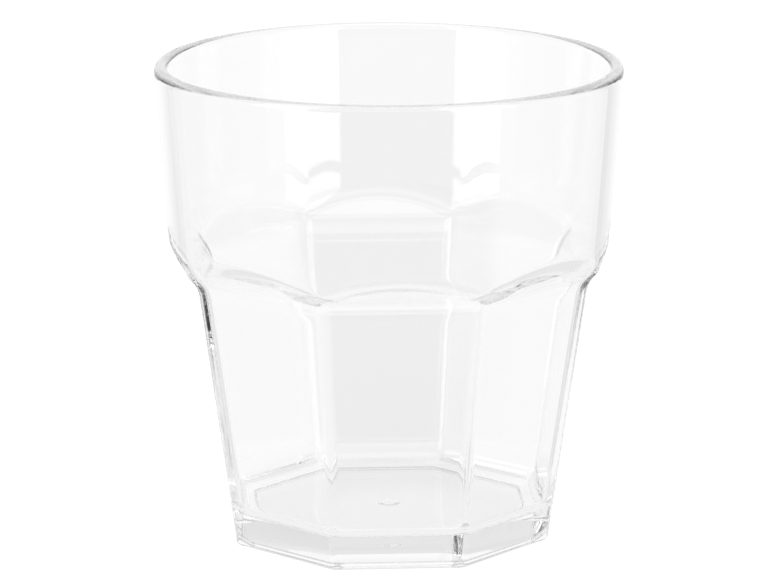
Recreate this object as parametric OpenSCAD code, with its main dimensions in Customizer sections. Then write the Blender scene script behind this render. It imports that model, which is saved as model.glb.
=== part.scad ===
// Clear moulded tumbler: a round upper band over an octagonal body. Between them is a shoulder that arches
// over each facet. It stands on its foot at z = 0, with its axis on Z and one facet facing -Y.
// Sizes are in millimetres and degrees.

/* [Overall] */
// Outside diameter of the rim, the widest place
rim_d = 84; // [76:0.5:96]
// Height from the foot to the top of the lip
height = 86.2; // [78:0.2:110]

/* [Walls] */
// Thickness of the side wall, which the lip rounds over
wall = 2.4; // [1.8:0.1:3.2]
// Thickness of the floor at its middle, above the foot
floor_t = 5.6; // [3:0.1:8]
// Radius of the cove between the floor and the side wall, inside
cove_r = 3.4; // [1.5:0.1:5]

/* [Round band] */
// Lean of the round band away from upright
band_lean = 4.1; // [2:0.1:6]

/* [Facets] */
// Number of flat facets round the body
facets = 8; // [8, 10]
// Width of the body across its flats, at the foot
base_flats = 56.2; // [52:0.2:60]
// Lean of the facets away from upright
facet_lean = 7.8; // [6:0.1:9]
// How far the outside corners between facets are eased back
corner_ease = 0.3; // [0.1:0.05:0.6]
// How far the inside corners between facets are eased back
inner_ease = 0.5; // [0.1:0.05:0.8]

/* [Shoulder] */
// Height at which each facet turns outward into the shoulder
shoulder_z = 48.5; // [44:0.1:54]
// Lean of the shoulder away from upright
shoulder_lean = 44.3; // [40:0.1:60]
// Radius of the bend where a facet turns into the shoulder, outside
bend_r = 5; // [1:0.1:6]
// Radius of the same bend inside
inner_bend_r = 7; // [1:0.1:8]
// Radius of the arch at the middle of a facet, where the shoulder turns into the round band, outside
arch_r = 4.5; // [1:0.1:5]
// Radius of the same arch inside
inner_arch_r = 4; // [1:0.1:5]

/* [Foot] */
// Radius of the outside edge of the foot
foot_round = 0.6; // [0.3:0.1:1.5]
// Width of the flat rim that the tumbler stands on
foot_w = 4.5; // [3:0.1:7]
// Depth of the hollow inside the foot
hollow_z = 0.8; // [0.4:0.1:1.4]
// Radius of the plain moulding gate at the middle of the hollow
gate_r = 1.6; // [1:0.1:3]
// Height of the moulding gate, which stays clear of the table
gate_z = 0.3; // [0.1:0.1:0.3]

/* [Hidden] */
$fn = 128;
// Distance from the axis to a corner, for each unit of distance to a flat
to_corner = 1 / cos(180 / facets);
// Radius past which nothing of the tumbler reaches
reach = rim_d / 2 + 2;
over = 1;
// How far an arc passes the two sides that it rounds, so that it crosses them clearly
bite = 0.001;
// How far the arc of an arch passes the face of the round band, which it crosses at a small clear angle
arch_pass = 0.05;
// Greatest share of the straight shoulder that the arc of an arch takes, and the shortest one that has an arc
arch_share = 0.9;
least_room = 0.5;
lip_r = wall / 2 + bite;
lip_centre = [rim_d / 2 - lip_r, height - lip_r];
base_apothem = base_flats / 2;
hollow_apothem = base_apothem - foot_w;

// Directions up and out of the round band
band_up = [sin(band_lean), cos(band_lean)];
band_out = [band_up[1], -band_up[0]];

function unit(v) = v / norm(v);
// Angle between two directions
function spread(a, b) = acos(unit(a) * unit(b));
// Distance from a corner to where an arc of radius r touches its sides, which run along a and b
function touch(a, b, r) = r / tan(spread(a, b) / 2);
// Centre of that arc, for a corner at p
function arc_centre(p, a, b, r) = p + unit(unit(a) + unit(b)) * r / sin(spread(a, b) / 2);

// Height at which a wall set in by t from the facet and from the shoulder turns outward
function bend_height(t) =
    shoulder_z + t * (1 / cos(facet_lean) - 1 / cos(shoulder_lean)) / (tan(facet_lean) - tan(shoulder_lean));
// Distance from the axis to the flat of a facet, set in by t, at height z
function flat_at(t, z) = base_apothem + z * tan(facet_lean) - t / cos(facet_lean);

// Where the line through p along a meets the line through q along b
function meet(p, a, q, b) = p + a * cross(q - p, b) / cross(a, b);
// Point on the face of the round band set in by t, beside the middle of the lip
function band_point(t) = lip_centre + band_out * (wall / 2 - t);

// Half section of the faceted body, set in by t from the outside, which starts at z0.
// With k = 1 and ease = 0 it goes through the flats, and with k = to_corner through the corners.
// The radii are those of the lower edge, the bend and the arch, which is less where the shoulder is short.
module facet_half(t, z0, radii, k, ease) {
    bend_z = bend_height(t);
    low = [k * flat_at(t, z0) - ease, z0];
    bend = [k * flat_at(t, bend_z) - ease, bend_z];
    up = unit(bend - low);
    out = unit([k * tan(shoulder_lean), 1]);
    arch = meet(bend, out, band_point(t - arch_pass), band_up);
    inward = [-1, 0];
    edge_l = touch(inward, up, radii[0]);
    bend_l = touch(-up, out, radii[1]);
    room = (arch - bend) * out - bend_l;
    arch_l = min(touch(-out, band_up, radii[2]), arch_share * room);
    fitted_r = arch_l * tan(spread(-out, band_up) / 2);
    arch_top = arch + band_up * arch_l;
    shoulder_end = bend + out * (reach - bend[0]) / out[0];
    arched = room > least_room;
    difference() {
        union() {
            difference() {
                polygon(concat(
                    [[0, z0], low + inward * edge_l, low + up * edge_l],
                    [bend - up * bend_l, bend + out * bend_l],
                    arched ? [arch - out * arch_l, arch_top, [reach, arch_top[1]]] : [shoulder_end],
                    [[reach, height + over], [0, height + over]]
                ));
                translate(arc_centre(bend, -up, out, radii[1])) circle(radii[1] + bite);
            }
            translate(arc_centre(low, inward, up, radii[0])) circle(radii[0] + bite);
            if (arched) translate(arc_centre(arch, -out, band_up, fitted_r)) circle(fitted_r + bite);
        }
        translate([0, z0 - over]) square([reach, over]);
    }
}

// Half section of the round band, set in by t from its outside face. It is carried down past the foot,
// and up past the middle of the lip by rise.
module band_half(t, rise) {
    middle = band_point(t);
    low = middle - band_up * (middle[1] + over) / band_up[1];
    top = middle + band_up * rise;
    end = top - band_out * (wall + over);
    polygon([[0, -over], low, top, end, [0, end[1]]]);
}

// Solid with flat facets below and a round band above. Its children are the half section of the band.
module faceted_solid(t, z0, radii, ease) {
    between_facets(facets / 2, t, z0, radii)
        rotate_extrude()
            intersection() {
                facet_half(t, z0, radii, to_corner, ease);
                children();
            }
}

// What is left of the children between opposite facets, for the given number of pairs
module between_facets(pairs, t, z0, radii) {
    if (pairs == 0)
        children();
    else
        intersection() {
            between_facets(pairs - 1, t, z0, radii) children();
            rotate([90, 0, pairs * 360 / facets])
                linear_extrude(height = 2 * reach, center = true)
                    union() {
                        facet_half(t, z0, radii, 1, 0);
                        mirror([1, 0]) facet_half(t, z0, radii, 1, 0);
                    }
        }
}

module outside() {
    faceted_solid(0, 0, [foot_round, bend_r, arch_r], corner_ease)
        union() {
            band_half(0, 0);
            translate(lip_centre) circle(lip_r);
        }
}

module cavity() {
    faceted_solid(wall, floor_t, [cove_r, inner_bend_r, inner_arch_r], inner_ease)
        band_half(wall, wall);
}

// Shallow hollow under the floor, which leaves a flat foot to stand on
module foot_hollow() {
    rotate(180 / facets)
        translate([0, 0, -over])
            cylinder(h = over + hollow_z, r = hollow_apothem * to_corner, $fn = facets);
}

module gate() {
    translate([0, 0, hollow_z - gate_z])
        cylinder(h = gate_z + over, r = gate_r);
}

module tumbler() {
    color("gainsboro")
        union() {
            difference() {
                outside();
                cavity();
                foot_hollow();
            }
            gate();
        }
}

tumbler();
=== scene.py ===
"""A clear moulded tumbler on a pale table, with its plastic, the sky, two soft panels and the camera.
Sizes of the skin and the camera's lens are in millimetres, other lengths in metres and angles in radians."""

import math

import bpy
import numpy as np
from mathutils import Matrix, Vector


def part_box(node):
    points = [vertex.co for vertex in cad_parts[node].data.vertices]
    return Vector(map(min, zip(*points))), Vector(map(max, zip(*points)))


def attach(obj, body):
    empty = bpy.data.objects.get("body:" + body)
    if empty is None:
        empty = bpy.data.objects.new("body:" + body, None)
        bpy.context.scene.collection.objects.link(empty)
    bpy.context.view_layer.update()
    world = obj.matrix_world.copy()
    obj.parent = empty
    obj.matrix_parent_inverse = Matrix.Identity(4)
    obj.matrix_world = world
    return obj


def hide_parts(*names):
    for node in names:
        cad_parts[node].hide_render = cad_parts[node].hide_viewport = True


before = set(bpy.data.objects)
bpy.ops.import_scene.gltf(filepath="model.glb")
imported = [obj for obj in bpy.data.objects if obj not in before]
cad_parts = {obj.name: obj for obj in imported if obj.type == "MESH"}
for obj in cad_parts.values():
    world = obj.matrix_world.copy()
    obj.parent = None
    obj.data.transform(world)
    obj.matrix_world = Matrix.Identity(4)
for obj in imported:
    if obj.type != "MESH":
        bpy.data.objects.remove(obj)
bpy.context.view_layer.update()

MM = 0.001

# Driving sizes, which the solid model shares
HEIGHT = round(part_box("tumbler")[1].z / MM, 2)
RIM_D = round(2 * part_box("tumbler")[1].x / MM, 2)
WALL = 2.4
FLOOR_T = 5.6
COVE_R = 3.4
BAND_LEAN = math.radians(4.1)
FACETS = 8
BASE_FLATS = 56.2
FACET_LEAN = math.radians(7.8)
SHOULDER_Z = 48.5
SHOULDER_LEAN = math.radians(44.3)
BEND_R = 5.0
ARCH_R = 4.5
BEND_IN_R = 7.0
ARCH_IN_R = 4.0
FOOT_ROUND = 0.6
FOOT_W = 4.5
HOLLOW_Z = 0.8
GATE_R = 1.6
GATE_Z = 0.3

# Softness of the moulded corners between facets, as a share of the distance to the flat
OUTSIDE_CORNER = 0.06
INSIDE_CORNER = 0.10
# Half the width of the slope round the gate, and the radius of the two bends in it
GATE_SLOPE = 0.4
GATE_SOFT = 1.5
# Radius of the edges of the hollow
HOLLOW_R = 0.35
# Share of a short shoulder that its bend and its arch may take together
ARCH_SHARE = 0.96

# How finely the skin is divided: columns across each facet and round each corner, and points in each arc
FLAT_COLUMNS = 22
CORNER_COLUMNS = 20
ARC_STEPS = 9
# How far before a corner turns its columns begin
CORNER_MARGIN = math.radians(0.4)
# Where the points of a straight run lie, as shares of it
RUN_SHARES = (0.03, 0.12, 0.3, 0.5, 0.7, 0.88, 0.97)

WHITE = (1, 1, 1, 1)
# Keeps a division by the distance from the axis safe on the axis itself
TINY = 0.0001

# The clear plastic. What it absorbs for each metre is the density times what the colour lacks of 1.
PLASTIC_IOR = 1.58
ABSORPTION_COLOUR = (0.9, 0.9, 0.9, 1)
ABSORPTION_DENSITY = 5.0
# The slow wave that the mould leaves
WAVE = {"Scale": 38.0, "Detail": 2.0, "Roughness": 0.4}
WAVE_HEIGHT = 0.03 * MM
WAVE_STRENGTH = 0.35
# The fine grain, the part of its range that shows, and how rough it is there
GRAIN = {"Scale": 900.0, "Detail": 3.0, "Roughness": 0.6}
GRAIN_RANGE = (0.45, 0.75)
GRAIN_ROUGHNESS = 0.004
# What wear adds to the roughness under the foot, and up to which height
FOOT_ROUGHNESS = 0.1
FOOT_RUBBED = 0.5 * MM
# The inside floor is darkened by painted shade, from one soft edge in height to another, and out to the cove.
# The painted shade is the share of the light that this takes.
FLOOR_RISE = ((FLOOR_T - 0.3) * MM, (FLOOR_T - 0.1) * MM)
FLOOR_FALL = ((FLOOR_T + 0.2) * MM, (FLOOR_T + 0.9) * MM)
FLOOR_EDGE = (23 * MM, 26 * MM)
FLOOR_SHADE = 0.1

# The pale table: half its width, its glow to the camera, and its paint, which takes the soft shadow
TABLE_REACH = 2.5
TABLE_GLOW = 0.9
TABLE_PAINT = (0.25, 0.25, 0.25, 1)
# How far from the tumbler the table stays white when it is seen through the plastic
TABLE_FADE = (0.45, 0.585)

# Places round the tumbler count from 0 straight behind it to 1 straight in front, on the camera's side.
# Where the sides turn grey, through the plastic and in a mirror reflection, and how light they stay
SIDE_TURN = (0.1, 0.5)
MIRROR_TURN = (0.02, 0.15)
SIDE_SHADE = 0.8
# Where the dark front begins, and how light the table is there, through the plastic and in a reflection
DARK_SECTOR = (0.80, 0.88)
FRONT_SHADE = 0.27
FRONT_GLOSS = 0.34
# The dark front close to the tumbler, in a reflection: how far out, and how it darkens towards its middle
CLOSE_REACH = (0.07, 0.14)
CLOSE_SECTOR = (0.90, 0.96)
CLOSE_GLOSS = (0.7, 0.10)
# A painted pool of light on the table round the foot, seen in a reflection: how far out, and how light
FOOT_REACH = (0.05, 0.062)
FOOT_POOL_LIGHT = 0.9

# Heights in the sky count from 0 level with the table to 1 overhead.
# The sky's sides, and its dark front with the heights where that ends
SKY_SIDE = 0.85
SKY_FRONT = 0.15
DARK_TOP = (0.12, 0.3)
# The sky is greyer upward
SKY_RISE = (0.0, 0.7)
SKY_TOP = 0.5
# The lit part above the dark front
LIT_SECTOR = (0.7, 0.84)
LIT_RISE = (0.15, 0.3)
LIT_FALL = (0.45, 0.85)
SKY_LIT = 0.95
# The light part overhead
OVERHEAD = (0.93, 0.96)
SKY_OVERHEAD = 1.4

# The two soft panels: name, angle from straight in front, and width
PANELS = (("right_panel", math.radians(40.8), 0.29), ("left_panel", math.radians(-55.4), 0.256))
PANEL_DISTANCE = 0.5
PANEL_HEIGHT = 0.8
PANEL_STRENGTH = 1.6

# The camera, with how far it looks to the right of straight ahead and down
CAMERA_PLACE = (-0.0451, -0.7344, 0.2218)
CAMERA_TURN = math.radians(3.53)
CAMERA_DROP = math.radians(13.614)
CAMERA_LENS = 192.8
CAMERA_CLIP = (0.01, 20)

# How many times light that meets the plastic may turn
BOUNCES = 38


class Socket:
    """A value, colour or vector in a node tree, with arithmetic that adds the nodes it needs."""

    def __init__(self, tree, link):
        self.tree = tree
        self.link = link

    def node(self, kind, settings=None, output=0, **inputs):
        """One output of a new node. Its inputs go by name, with _ for a space, or by i and a number."""
        made = self.tree.nodes.new(kind)
        for name, value in (settings or {}).items():
            setattr(made, name, value)
        for name, value in inputs.items():
            key = int(name[1:]) if name[0] == "i" and name[1:].isdigit() else name.replace("_", " ")
            if isinstance(value, Socket):
                self.tree.links.new(value.link, made.inputs[key])
            else:
                made.inputs[key].default_value = value
        return Socket(self.tree, made.outputs[output])

    def maths(self, operation, *values):
        inputs = {f"i{i}": value for i, value in enumerate(values)}
        return self.node("ShaderNodeMath", {"operation": operation}, **inputs)

    def __add__(self, other):
        return self.maths("ADD", self, other)

    def __radd__(self, other):
        return self.maths("ADD", other, self)

    def __sub__(self, other):
        return self.maths("SUBTRACT", self, other)

    def __rsub__(self, other):
        return self.maths("SUBTRACT", other, self)

    def __mul__(self, other):
        return self.maths("MULTIPLY", self, other)

    def __rmul__(self, other):
        return self.maths("MULTIPLY", other, self)

    def __truediv__(self, other):
        return self.maths("DIVIDE", self, other)

    def __rtruediv__(self, other):
        return self.maths("DIVIDE", other, self)

    def smooth(self, low, high):
        """0 below low, 1 above high, and a soft step between."""
        settings = {"interpolation_type": "SMOOTHSTEP"}
        return self.node("ShaderNodeMapRange", settings, Value=self, From_Min=low, From_Max=high)

    def between(self, start, end):
        """Start where this value is 0 and end where it is 1, as values."""
        return start + self * (end - start)


def new_material(name):
    """An empty material, its tree and its output node."""
    material = bpy.data.materials.new(name)
    material.use_nodes = True
    tree = material.node_tree
    tree.nodes.clear()
    return material, tree, tree.nodes.new("ShaderNodeOutputMaterial")


def from_axis(start, place):
    """Distance of a place from the tumbler's axis."""
    flat = start.node("ShaderNodeVectorMath", {"operation": "MULTIPLY"}, i0=place, i1=(1, 1, 0))
    return start.node("ShaderNodeVectorMath", {"operation": "LENGTH"}, output="Value", i0=flat)


def facing_front(start, place, far):
    """How far round a place at a distance lies: 0 straight behind the tumbler, 1 straight in front of it."""
    back = start.node("ShaderNodeSeparateXYZ", output=1, Vector=place)
    return 0.5 - 0.5 * (back / (far + TINY))


def polar(angle):
    """Direction in the section that leans out from upright by an angle."""
    return np.array([math.sin(angle), math.cos(angle)])


def outward(along):
    """Direction in the section that is square to an upward one, on its outer side."""
    return np.array([along[1], -along[0]])


def meet(p, along_p, q, along_q):
    """Where two lines in the section cross."""
    share = np.linalg.solve(np.column_stack([along_p, -along_q]), q - p)[0]
    return p + share * along_p


def unit(v):
    return v / np.linalg.norm(v)


def corner_arc(before, corner, after, radius):
    """Points of the arc that rounds a corner, from the side of the one before it to that of the one after."""
    back = unit(before - corner)
    ahead = unit(after - corner)
    half = math.acos(max(-1.0, min(1.0, float(back @ ahead)))) / 2
    reach = radius / math.tan(half)
    middle = corner + unit(back + ahead) * radius / math.sin(half)
    start = corner + back * reach - middle
    end = corner + ahead * reach - middle
    turn = math.pi - 2 * half
    return [middle + (math.sin((1 - s) * turn) * start + math.sin(s * turn) * end) / math.sin(turn)
            for s in np.linspace(0, 1, ARC_STEPS)]


def rounded(corners, radii):
    """The line through the corners with each one rounded, and points along each straight run between."""
    arcs = [corner_arc(*corners[i - 1:i + 2], radii[i]) for i in range(1, len(corners) - 1)]
    points = [corners[0]]
    for arc in arcs + [[corners[-1]]]:
        leave = points[-1]
        points += [leave + (arc[0] - leave) * s for s in RUN_SHARES]
        points += arc
    return np.array(points)


def arch_radius(wanted, before, bend, bend_r, arch, after):
    """Radius of the arch, which gets smaller where the shoulder is too short for it and the bend."""
    bend_turn = math.acos(float(unit(bend - before) @ unit(arch - bend)))
    arch_turn = math.acos(float(unit(arch - bend) @ unit(after - arch)))
    room = ARCH_SHARE * float(np.linalg.norm(arch - bend)) - bend_r * math.tan(bend_turn / 2)
    return min(wanted, room / math.tan(arch_turn / 2))


def corner_stretch(off_flat, softness):
    """Distance to a polygon with soft corners, at an angle from the middle of a side, where it is 1."""
    half_side = math.pi / FACETS
    turn_in = math.atan((1 - softness) * math.tan(half_side))
    if abs(off_flat) <= turn_in:
        return 1 / math.cos(off_flat)
    middle = (1 - softness) / math.cos(half_side)
    aside = half_side - abs(off_flat)
    return middle * math.cos(aside) + math.sqrt(softness ** 2 - (middle * math.sin(aside)) ** 2)


def column_section(off_flat):
    """The section from the axis under the floor, out, up, over the lip and down to the axis on the floor."""
    up_facet = polar(FACET_LEAN)
    up_shoulder = polar(SHOULDER_LEAN)
    up_band = polar(BAND_LEAN)
    out_band = outward(up_band)
    lip_r = WALL / 2
    lip = np.array([RIM_D / 2 - lip_r, HEIGHT - lip_r])
    foot = np.array([BASE_FLATS / 2, 0.0])
    bend = foot + up_facet * SHOULDER_Z / up_facet[1]

    def skin(inset, floor, softness):
        """Corners of one skin from its lower edge to the band: low, bend, arch."""
        on_facet = foot - outward(up_facet) * inset
        on_shoulder = bend - outward(up_shoulder) * inset
        low = on_facet + up_facet * (floor - on_facet[1]) / up_facet[1]
        turn = meet(on_facet, up_facet, on_shoulder, up_shoulder)
        stretch = np.array([corner_stretch(off_flat, softness), 1.0])
        on_band = lip + out_band * (lip_r - inset)
        arch = meet(turn * stretch, up_shoulder * stretch, on_band, up_band)
        return low * stretch, turn * stretch, arch

    low_out, bend_out, arch_out = skin(0.0, 0.0, OUTSIDE_CORNER)
    low_in, bend_in, arch_in = skin(WALL, FLOOR_T, INSIDE_CORNER)
    hollow = (foot[0] - FOOT_W) * corner_stretch(off_flat, OUTSIDE_CORNER)
    gate_low = HOLLOW_Z - GATE_Z
    lip_out = lip + (out_band + up_band) * lip_r
    lip_in = lip + (up_band - out_band) * lip_r
    steps = [
        ((0.0, gate_low), 0.0),
        ((GATE_R - GATE_SLOPE, gate_low), GATE_SOFT),
        ((GATE_R + GATE_SLOPE, HOLLOW_Z), GATE_SOFT),
        ((hollow, HOLLOW_Z), HOLLOW_R),
        ((hollow, 0.0), HOLLOW_R),
        (low_out, FOOT_ROUND),
        (bend_out, BEND_R),
        (arch_out, arch_radius(ARCH_R, low_out, bend_out, BEND_R, arch_out, lip_out)),
        (lip_out, lip_r),
        (lip_in, lip_r),
        (arch_in, arch_radius(ARCH_IN_R, low_in, bend_in, BEND_IN_R, arch_in, lip_in)),
        (bend_in, BEND_IN_R),
        (low_in, COVE_R),
        ((0.0, FLOOR_T), 0.0),
    ]
    corners = [np.array(place, float) for place, _ in steps]
    return rounded(corners, [radius for _, radius in steps])


def column_angles():
    """Angles of the columns within one facet, close together where the corners turn."""
    half_side = math.pi / FACETS
    turn_in = math.atan((1 - INSIDE_CORNER) * math.tan(half_side)) - CORNER_MARGIN
    flat = np.linspace(-turn_in, turn_in, FLAT_COLUMNS + 1)
    corner = np.linspace(turn_in, 2 * half_side - turn_in, CORNER_COLUMNS + 1)[1:-1]
    return np.concatenate([flat, corner])


def skin_columns():
    """The angle and the section of each column, round the whole tumbler."""
    side = 2 * math.pi / FACETS
    columns = []
    for facet in range(FACETS):
        middle = -math.pi / 2 + facet * side
        for off in column_angles():
            off_flat = (off + side / 2) % side - side / 2
            columns.append((middle + off, column_section(off_flat)))
    return columns


def skin_mesh(name):
    """One closed skin whose rows follow the foot, bends, arches and lip, so that each keeps its true line."""
    columns = skin_columns()
    count = len(columns)
    first_section = columns[0][1]
    rings = len(first_section) - 2
    points = [(0.0, 0.0, first_section[0][1])]
    for row in range(1, rings + 1):
        for angle, section in columns:
            r, z = section[row]
            points.append((r * math.cos(angle), r * math.sin(angle), z))
    points.append((0.0, 0.0, first_section[-1][1]))
    faces = []
    for j in range(count):
        after = (j + 1) % count
        faces.append((0, 1 + after, 1 + j))
        for ring in range(rings - 1):
            low = 1 + ring * count
            high = low + count
            faces.append((low + j, low + after, high + after, high + j))
        last = 1 + (rings - 1) * count
        faces.append((last + j, last + after, len(points) - 1))
    mesh = bpy.data.meshes.new(name)
    mesh.from_pydata([Vector(p) * MM for p in points], [], faces)
    mesh.polygons.foreach_set("use_smooth", [True] * len(mesh.polygons))
    mesh.validate()
    return mesh


def painted_floor_shade(start, place, height):
    """Where the inside floor's painted shade lies: 1 on the inside floor and 0 elsewhere, with soft edges."""
    level = height.smooth(*FLOOR_RISE) * (1 - height.smooth(*FLOOR_FALL))
    return level * (1 - from_axis(start, place).smooth(*FLOOR_EDGE))


def clear_plastic():
    """Hard clear moulded plastic: glossy, slightly wavy from the mould, rubbed rough under the foot, and
    darkened on the inside floor by painted shade.
    """
    material, tree, output = new_material("clear_plastic")
    start = Socket(tree, None)
    place = start.node("ShaderNodeTexCoord", output="Object")
    height = start.node("ShaderNodeSeparateXYZ", output=2, Vector=place)
    wave = start.node("ShaderNodeTexNoise", Vector=place, **WAVE)
    grain = start.node("ShaderNodeTexNoise", Vector=place, **GRAIN)
    under = 1 - height.smooth(0.0, FOOT_RUBBED)
    roughness = grain.smooth(*GRAIN_RANGE) * (GRAIN_ROUGHNESS + under * FOOT_ROUGHNESS)
    bump = start.node("ShaderNodeBump", Strength=WAVE_STRENGTH, Distance=WAVE_HEIGHT, Height=wave)
    # Painted shade: the colour of the inside floor is darkened
    light = 1 - painted_floor_shade(start, place, height) * FLOOR_SHADE
    floor_shade_colour = start.node("ShaderNodeCombineXYZ", X=light, Y=light, Z=light)
    shader = tree.nodes.new("ShaderNodeBsdfPrincipled")
    shader.inputs["Transmission Weight"].default_value = 1.0
    shader.inputs["IOR"].default_value = PLASTIC_IOR
    tree.links.new(floor_shade_colour.link, shader.inputs["Base Color"])
    tree.links.new(roughness.link, shader.inputs["Roughness"])
    tree.links.new(bump.link, shader.inputs["Normal"])
    tree.links.new(shader.outputs[0], output.inputs["Surface"])
    depth = start.node("ShaderNodeVolumeAbsorption", Color=ABSORPTION_COLOUR, Density=ABSORPTION_DENSITY)
    tree.links.new(depth.link, output.inputs["Volume"])
    return material


def make_tumbler():
    piece = bpy.data.objects.new("tumbler_skin", skin_mesh("tumbler_skin"))
    bpy.context.scene.collection.objects.link(piece)
    piece.data.materials.append(clear_plastic())
    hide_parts("tumbler")
    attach(piece, "root")
    return piece


def table_paint():
    """White to the camera, with a soft shadow. The plastic shows it greyer at the sides and dark in front,
    and in a reflection a painted pool of light round the foot.
    """
    material, tree, output = new_material("table_paint")
    start = Socket(tree, None)
    place = start.node("ShaderNodeTexCoord", output="Object")
    seen = start.node("ShaderNodeLightPath", output="Is Camera Ray")
    reflections = start.node("ShaderNodeLightPath", output="Glossy Depth")
    far = from_axis(start, place)
    front = facing_front(start, place, far)
    dark = front.smooth(*DARK_SECTOR)
    side = front.smooth(*SIDE_TURN).between(1.0, SIDE_SHADE)
    through = far.smooth(*TABLE_FADE).between(1.0, dark.between(side, FRONT_SHADE))
    side_gloss = front.smooth(*MIRROR_TURN).between(1.0, SIDE_SHADE)
    close_gloss = front.smooth(*CLOSE_SECTOR).between(*CLOSE_GLOSS)
    dark_gloss = far.smooth(*CLOSE_REACH).between(close_gloss, FRONT_GLOSS)
    # In a reflection the table has a painted pool of light round the foot
    reflected = far.smooth(*FOOT_REACH).between(FOOT_POOL_LIGHT, dark.between(side_gloss, dark_gloss))
    mirrored = reflections.maths("MINIMUM", reflections, 1.0)
    shown = start.node("ShaderNodeEmission", Color=WHITE, Strength=mirrored.between(through, reflected))
    glow = start.node("ShaderNodeEmission", Color=WHITE, Strength=TABLE_GLOW)
    paint = start.node("ShaderNodeBsdfDiffuse", Color=TABLE_PAINT)
    direct = start.node("ShaderNodeAddShader", i0=glow, i1=paint)
    both = start.node("ShaderNodeMixShader", i0=seen, i1=shown, i2=direct)
    tree.links.new(both.link, output.inputs["Surface"])
    return material


def make_table():
    mesh = bpy.data.meshes.new("table")
    corners = [(TABLE_REACH * x, TABLE_REACH * y, 0) for x, y in ((-1, -1), (1, -1), (1, 1), (-1, 1))]
    mesh.from_pydata(corners, [], [(0, 1, 2, 3)])
    table = bpy.data.objects.new("table", mesh)
    bpy.context.scene.collection.objects.link(table)
    table.data.materials.append(table_paint())


def make_sky():
    """White to the camera. The plastic shows it white low behind, greyer at the sides and upward, dark low in
    front, and light above that and overhead."""
    world = bpy.data.worlds.new("studio")
    bpy.context.scene.world = world
    world.use_nodes = True
    tree = world.node_tree
    tree.nodes.clear()
    start = Socket(tree, None)
    way = start.node("ShaderNodeTexCoord", output="Generated")
    up = start.node("ShaderNodeSeparateXYZ", output=2, Vector=way)
    seen = start.node("ShaderNodeLightPath", output="Is Camera Ray")
    front = facing_front(start, way, from_axis(start, way))
    shade = front.smooth(*MIRROR_TURN).between(1.0, SKY_SIDE)
    dark = front.smooth(*DARK_SECTOR) * (1 - up.smooth(*DARK_TOP))
    shade = dark.between(shade, SKY_FRONT)
    shade = up.smooth(*SKY_RISE).between(shade, SKY_TOP)
    lit = front.smooth(*LIT_SECTOR) * up.smooth(*LIT_RISE) * (1 - up.smooth(*LIT_FALL))
    shade = lit.between(shade, SKY_LIT)
    shade = up.smooth(*OVERHEAD).between(shade, SKY_OVERHEAD)
    shade = seen.between(shade, 1.0)
    sky = start.node("ShaderNodeBackground", Color=WHITE, Strength=shade)
    output = tree.nodes.new("ShaderNodeOutputWorld")
    tree.links.new(sky.link, output.inputs["Surface"])


def make_panel(name, turn, width):
    """A tall soft panel that stands at an angle from straight in front and faces the tumbler."""
    lamp = bpy.data.lights.new(name, "AREA")
    lamp.shape = "RECTANGLE"
    lamp.size = width
    lamp.size_y = PANEL_HEIGHT
    lamp.energy = PANEL_STRENGTH * math.pi * width * PANEL_HEIGHT
    panel = bpy.data.objects.new(name, lamp)
    bpy.context.scene.collection.objects.link(panel)
    middle = PANEL_HEIGHT / 2
    panel.location = (PANEL_DISTANCE * math.sin(turn), -PANEL_DISTANCE * math.cos(turn), middle)
    aim = Vector((0, 0, middle)) - panel.location
    panel.rotation_euler = aim.to_track_quat("-Z", "Y").to_euler()


def make_camera():
    lens = bpy.data.cameras.new("camera")
    lens.lens = CAMERA_LENS
    lens.clip_start, lens.clip_end = CAMERA_CLIP
    camera = bpy.data.objects.new("camera", lens)
    bpy.context.scene.collection.objects.link(camera)
    camera.location = CAMERA_PLACE
    level = math.cos(CAMERA_DROP)
    sight = Vector((level * math.sin(CAMERA_TURN), level * math.cos(CAMERA_TURN), -math.sin(CAMERA_DROP)))
    camera.rotation_euler = sight.to_track_quat("-Z", "Y").to_euler()
    bpy.context.scene.camera = camera


scene = bpy.context.scene
scene.view_settings.view_transform = "Standard"
scene.cycles.max_bounces = BOUNCES
scene.cycles.transmission_bounces = BOUNCES
scene.cycles.glossy_bounces = BOUNCES
make_camera()
make_tumbler()
make_table()
make_sky()
for panel_name, panel_turn, panel_width in PANELS:
    make_panel(panel_name, panel_turn, panel_width)
